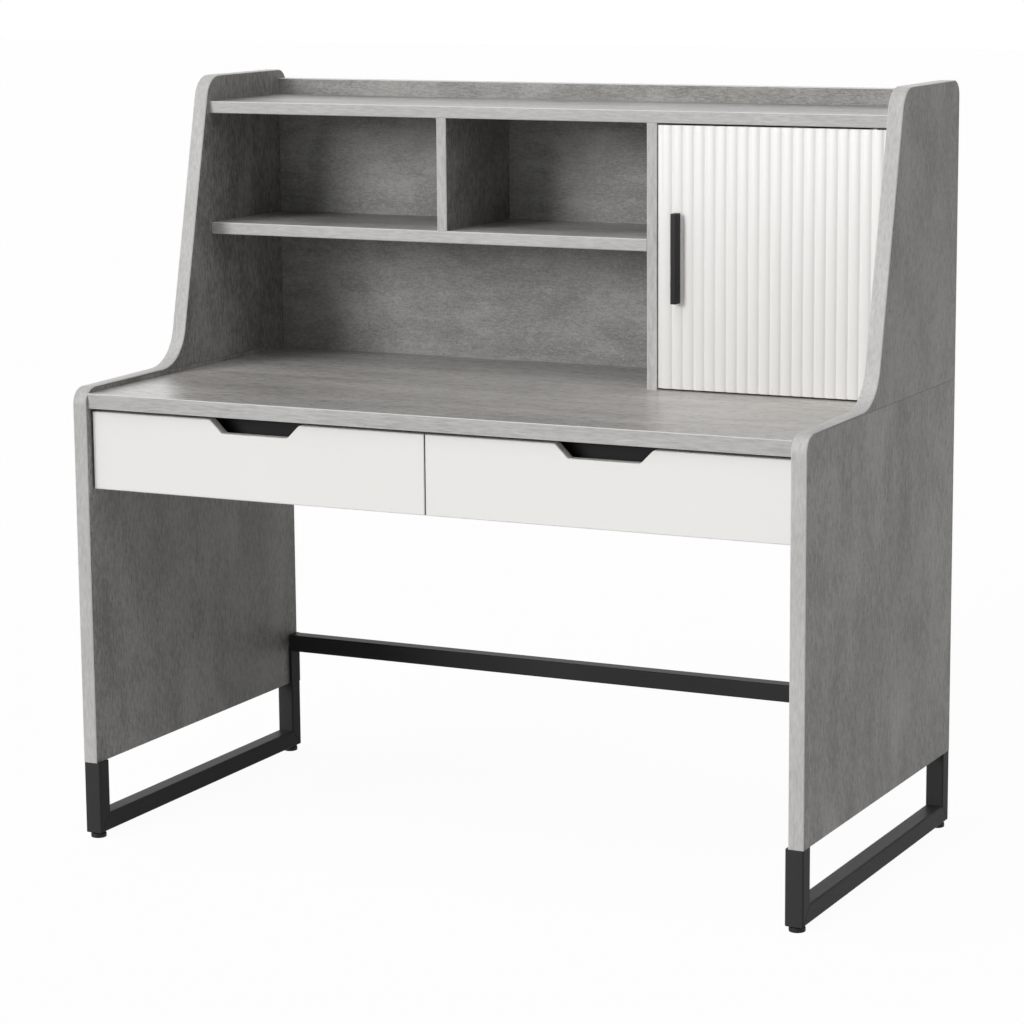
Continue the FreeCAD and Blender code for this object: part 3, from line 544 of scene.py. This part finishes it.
laminates = {
    "lower_side_laminate": dict(
        upright, shift=(0.0, 0.0, 0.0), dark="#777673", light="#b5b3b0", seam=side_seam,
    ),
    "hutch_side_laminate": dict(upright, shift=(0.4, 1.3, 0.7), dark="#747370", light="#aeaca9"),
    # Painted shade: the dividers' copy of the upright laminate is painted darker than the sides'
    "divider_laminate_painted_shade": dict(upright, shift=(2.1, 0.2, 0.9), dark="#6b6a68", light="#a1a09e"),
    "desktop_laminate": dict(worktop, shift=(0.3, 2.2, 0.1), dark="#96938f", light="#c7c4c0"),
    "shelf_laminate": dict(level, shift=(1.7, 0.6, 1.2), dark="#6f6d6c", light="#a4a29f"),
    # Painted light: the middle shelf's copy of the shelf laminate, at the same place in the pattern,
    # painted lighter
    "middle_shelf_laminate_painted_light": dict(level, shift=(1.7, 0.6, 1.2), dark="#838180", light="#c0bebb"),
    "back_laminate": dict(rear, shift=(0.9, 1.9, 2.4), dark="#7b7a79", light="#a8a7a6"),
    "back_rail_laminate": dict(rail, shift=(2.7, 1.1, 0.4), dark="#807e7b", light="#aeaca9"),
}
laminated_boards = {
    "lower_side_laminate": ("left_lower_side", "right_lower_side"),
    "hutch_side_laminate": ("left_hutch_side", "right_hutch_side"),
    "divider_laminate_painted_shade": ("short_divider", "tall_divider"),
    "desktop_laminate": ("desktop",),
    "shelf_laminate": ("top_shelf",),
    "middle_shelf_laminate_painted_light": ("middle_shelf",),
    "back_laminate": ("hutch_back_panel", "rear_apron"),
    "back_rail_laminate": ("back_rail",),
}

# Finishes of single pieces, and the finish of every CAD node
# The drawer fronts' ends are painted grey, as painted shade in the gaps between and beside them
front_lacquer = new_finish("satin_white_front_lacquer", satin_lacquer, ends=front_end_shade)
own_finishes = {"left_drawer_front": front_lacquer, "right_drawer_front": front_lacquer}
for name, boards in laminated_boards.items():
    laminate = new_finish(name, cement_laminate, **laminates[name])
    for board in boards:
        own_finishes[board] = laminate
for subpart in frame["record"]["subparts"]:
    node = subpart["node"]
    finish = own_finishes.get(node) or finishes[subpart["material_slot"]]
    nodes[node].data.materials.clear()
    nodes[node].data.materials.append(finish)


def start_piece(name):
    """Names the primitive just added, gives it its own size and place, and opens it for shaping."""
    piece = bpy.context.object
    piece.name = name
    piece.data.name = name
    bpy.ops.object.transform_apply(location=True, rotation=True, scale=True)
    bpy.ops.object.mode_set(mode="EDIT")
    return piece


def start_block(name, low, high):
    """A block between two corners, open for shaping."""
    bpy.ops.object.select_all(action="DESELECT")
    bpy.ops.mesh.primitive_cube_add(size=1, location=(low + high) / 2, scale=high - low)
    return start_piece(name)


def choose(piece, kind, test):
    """Selects the vertices, edges or faces of the piece that pass the test, and nothing else."""
    bpy.ops.mesh.select_mode(type=kind)
    bpy.ops.mesh.select_all(action="DESELECT")
    shape = bmesh.from_edit_mesh(piece.data)
    for element in {"VERT": shape.verts, "EDGE": shape.edges, "FACE": shape.faces}[kind]:
        element.select_set(test(element))
    bmesh.update_edit_mesh(piece.data)


def upright_at(x_places, y):
    """A test for upright edges at any of these places in x, and at this y."""
    def test(edge):
        ends = [corner.co for corner in edge.verts]
        if any(abs(end.y - y) > mm(near) for end in ends):
            return False
        if abs(ends[0].x - ends[1].x) > mm(near) or abs(ends[0].z - ends[1].z) < mm(near):
            return False
        return any(abs(ends[0].x - x) < mm(near) for x in x_places)
    return test


def ease_edges(piece, width, segments):
    """Rounds every sharp edge of the piece."""
    bpy.ops.object.mode_set(mode="OBJECT")
    ease = piece.modifiers.new("eased_edges", "BEVEL")
    ease.width = mm(width)
    ease.segments = segments
    ease.limit_method = "ANGLE"
    ease.angle_limit = ease_angle
    bpy.ops.object.modifier_apply(modifier=ease.name)


def finish_piece(piece, body, finish):
    """Closes the shaping, smooths the curved faces, and gives the piece its finish and its body."""
    bpy.ops.object.mode_set(mode="OBJECT")
    bpy.ops.object.shade_smooth_by_angle(angle=smooth_angle)
    piece.data.materials.clear()
    piece.data.materials.append(finish)
    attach(piece, body)


def make_fluted_front():
    """The cabinet door: a slab cut into columns, each second cut drawn forward to a ridge and rounded."""
    low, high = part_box("fluted_door")
    middle = (low + high) / 2
    valley = low.y + mm(flute_rise)
    door = start_block("fluted_door_panel", Vector((low.x, valley, low.z)), high)
    first = low.x + mm(flute_margin)
    pitch = (high.x - low.x - 2 * mm(flute_margin)) / flute_count
    valleys = [first + i * pitch for i in range(flute_count + 1)]
    crests = [first + (i + 0.5) * pitch for i in range(flute_count)]
    for x in sorted(valleys + crests):
        bpy.ops.mesh.select_all(action="SELECT")
        bpy.ops.mesh.bisect(plane_co=(x, middle.y, middle.z), plane_no=(1, 0, 0))
    choose(door, "EDGE", upright_at(crests, valley))
    bpy.ops.transform.translate(value=(0, -mm(flute_peak), 0))
    bpy.ops.mesh.bevel(
        offset=mm(flute_crest_round), segments=flute_crest_segments, profile=flute_crest_fullness,
        clamp_overlap=False,
    )
    crest = min(corner.co.y for corner in bmesh.from_edit_mesh(door.data).verts)
    choose(door, "VERT", lambda corner: corner.co.y < valley - mm(near))
    bpy.ops.transform.resize(
        value=(1, mm(flute_rise) / (valley - crest), 1),
        center_override=(middle.x, valley, middle.z),
    )
    choose(door, "EDGE", upright_at(valleys, valley))
    bpy.ops.mesh.bevel(
        offset=mm(flute_valley_round), segments=flute_valley_segments, profile=full_round,
        clamp_overlap=False,
    )
    ease_edges(door, door_edge_round, door_edge_segments)
    finish_piece(door, "door", finishes["white_lacquer"])
    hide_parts("fluted_door")


def make_bar_handle():
    """The door's handle: a bar with rounded front corners and eased ends, its back let into the flute."""
    low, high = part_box("door_handle")
    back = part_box("fluted_door")[0].y + mm(handle_sink)
    handle = start_block("door_bar_handle", low, Vector((high.x, back, high.z)))
    choose(handle, "EDGE", upright_at((low.x, high.x), low.y))
    bpy.ops.mesh.bevel(
        offset=mm(handle_front_round), segments=handle_front_segments, profile=full_round,
    )
    ease_edges(handle, handle_end_round, handle_end_segments)
    finish_piece(handle, "door", finishes["black_powder_coat"])
    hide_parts("door_handle")


def foot_profile(pad_radius, height):
    """A foot's outline as pairs of radius and height, from the pad's underside to the stud's top."""
    profile = [(pad_radius - mm(inwards), mm(up)) for inwards, up in pad_outline]
    profile.append((mm(stud_radius) + mm(pad_neck_width), mm(pad_top)))
    profile.append((mm(stud_radius), mm(pad_top)))
    half_pitch = mm(thread_pitch) / 2
    groove = mm(pad_top) + half_pitch
    while groove < height - half_pitch:
        profile.append((mm(stud_radius) - mm(thread_depth), groove))
        profile.append((mm(stud_radius), groove + half_pitch))
        groove += mm(thread_pitch)
    profile.append((mm(stud_radius) - 2 * mm(thread_depth), height))
    return profile


def make_levelling_feet():
    """The four feet: a pad with a rounded rim and a threaded stud, drawn up ring by ring and copied."""
    low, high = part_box(feet[0])
    profile = foot_profile((high.x - low.x) / 2, high.z - low.z)
    bpy.ops.object.select_all(action="DESELECT")
    bpy.ops.mesh.primitive_circle_add(vertices=foot_sides, radius=profile[0][0], fill_type="NGON")
    turned = start_piece(feet[0] + "_turned")
    bpy.ops.mesh.select_mode(type="FACE")
    bpy.ops.mesh.select_all(action="SELECT")
    for (radius, start), (next_radius, end) in zip(profile, profile[1:]):
        ratio = next_radius / radius
        bpy.ops.mesh.extrude_region_move(TRANSFORM_OT_translate={"value": (0, 0, end - start)})
        bpy.ops.transform.resize(value=(ratio, ratio, 1), center_override=(0, 0, end))
    bpy.ops.mesh.select_all(action="SELECT")
    bpy.ops.mesh.normals_make_consistent(inside=False)
    bpy.ops.object.mode_set(mode="OBJECT")
    pattern = turned.data.copy()
    for foot in feet:
        piece = turned
        if foot != feet[0]:
            piece = turned.copy()
            piece.name = foot + "_turned"
            piece.data = pattern.copy()
            piece.data.name = piece.name
            scene.collection.objects.link(piece)
        foot_low, foot_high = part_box(foot)
        middle = (foot_low + foot_high) / 2
        piece.data.transform(Matrix.Translation((middle.x, middle.y, foot_low.z)))
        bpy.ops.object.select_all(action="DESELECT")
        piece.select_set(True)
        bpy.context.view_layer.objects.active = piece
        finish_piece(piece, foot, finishes["black_plastic"])
        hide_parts(foot)


def make_toe_lips():
    """The thin front ends of the hutch sides' feet: strips with eased arrises, thinner to the front."""
    for side in ("left_hutch_side", "right_hutch_side"):
        low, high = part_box(side)
        top = low.z + mm(toe_height)
        lip = start_block(
            side + "_toe_lip", Vector((low.x, toe_tip, low.z)), Vector((high.x, low.y, top)),
        )
        choose(lip, "EDGE", lambda edge: (
            abs(edge.verts[0].co.y - edge.verts[1].co.y) > mm(near)
            and all(corner.co.z > top - mm(near) for corner in edge.verts)
        ))
        bpy.ops.mesh.bevel(offset=mm(toe_arris), segments=1)
        choose(lip, "VERT", lambda corner: corner.co.y < toe_tip + mm(near))
        bpy.ops.transform.resize(value=(1, 1, toe_tip_share), center_override=(low.x, toe_tip, low.z))
        finish_piece(lip, "desk", own_finishes[side])


def make_floor():
    """A plain pale floor, which isn't part of the object."""
    bpy.ops.object.select_all(action="DESELECT")
    bpy.ops.mesh.primitive_plane_add(size=floor_size)
    floor = bpy.context.object
    floor.name = "studio_floor"
    floor.data.materials.append(new_finish("pale_studio_floor", pale_floor))


def make_light():
    """Broad sun-like lights, and a white room all round."""
    for name, bearing, height, strength, spread in soft_lights:
        light = bpy.data.lights.new(name, "SUN")
        light.energy = strength * math.pi
        light.angle = math.radians(spread)
        lamp = bpy.data.objects.new(name, light)
        scene.collection.objects.link(lamp)
        side = math.radians(bearing)
        rise = math.radians(height)
        towards = Vector((
            math.sin(side) * math.cos(rise),
            -math.cos(side) * math.cos(rise),
            math.sin(rise),
        ))
        lamp.rotation_euler = towards.to_track_quat("Z", "Y").to_euler()
    world = bpy.data.worlds.new("white_room")
    world.use_nodes = True
    tree = world.node_tree
    tree.nodes.clear()
    strength = add(tree, "ShaderNodeMapRange", {
        "Value": seen_directly(tree), "To Min": room_level, "To Max": 1.0,
    }).outputs[0]
    room = add(tree, "ShaderNodeBackground", {"Color": linear(white), "Strength": strength}).outputs[0]
    add(tree, "ShaderNodeOutputWorld", {"Surface": room})
    scene.world = world


def make_camera():
    """The photograph's view."""
    lens = bpy.data.cameras.new("photograph_view")
    lens.lens = camera_lens
    lens.sensor_width = camera_sensor
    lens.sensor_fit = "AUTO"
    camera = bpy.data.objects.new("photograph_view", lens)
    scene.collection.objects.link(camera)
    forward = Vector((
        -math.sin(camera_azimuth) * math.cos(camera_pitch),
        math.cos(camera_azimuth) * math.cos(camera_pitch),
        -math.sin(camera_pitch),
    ))
    turn = forward.to_track_quat("-Z", "Y") @ Quaternion((0, 0, 1), camera_roll)
    camera.location = camera_place
    camera.rotation_euler = turn.to_euler()
    scene.camera = camera


make_fluted_front()
make_bar_handle()
make_levelling_feet()
make_toe_lips()
make_floor()
make_light()
make_camera()
scene.view_settings.view_transform = "Standard"
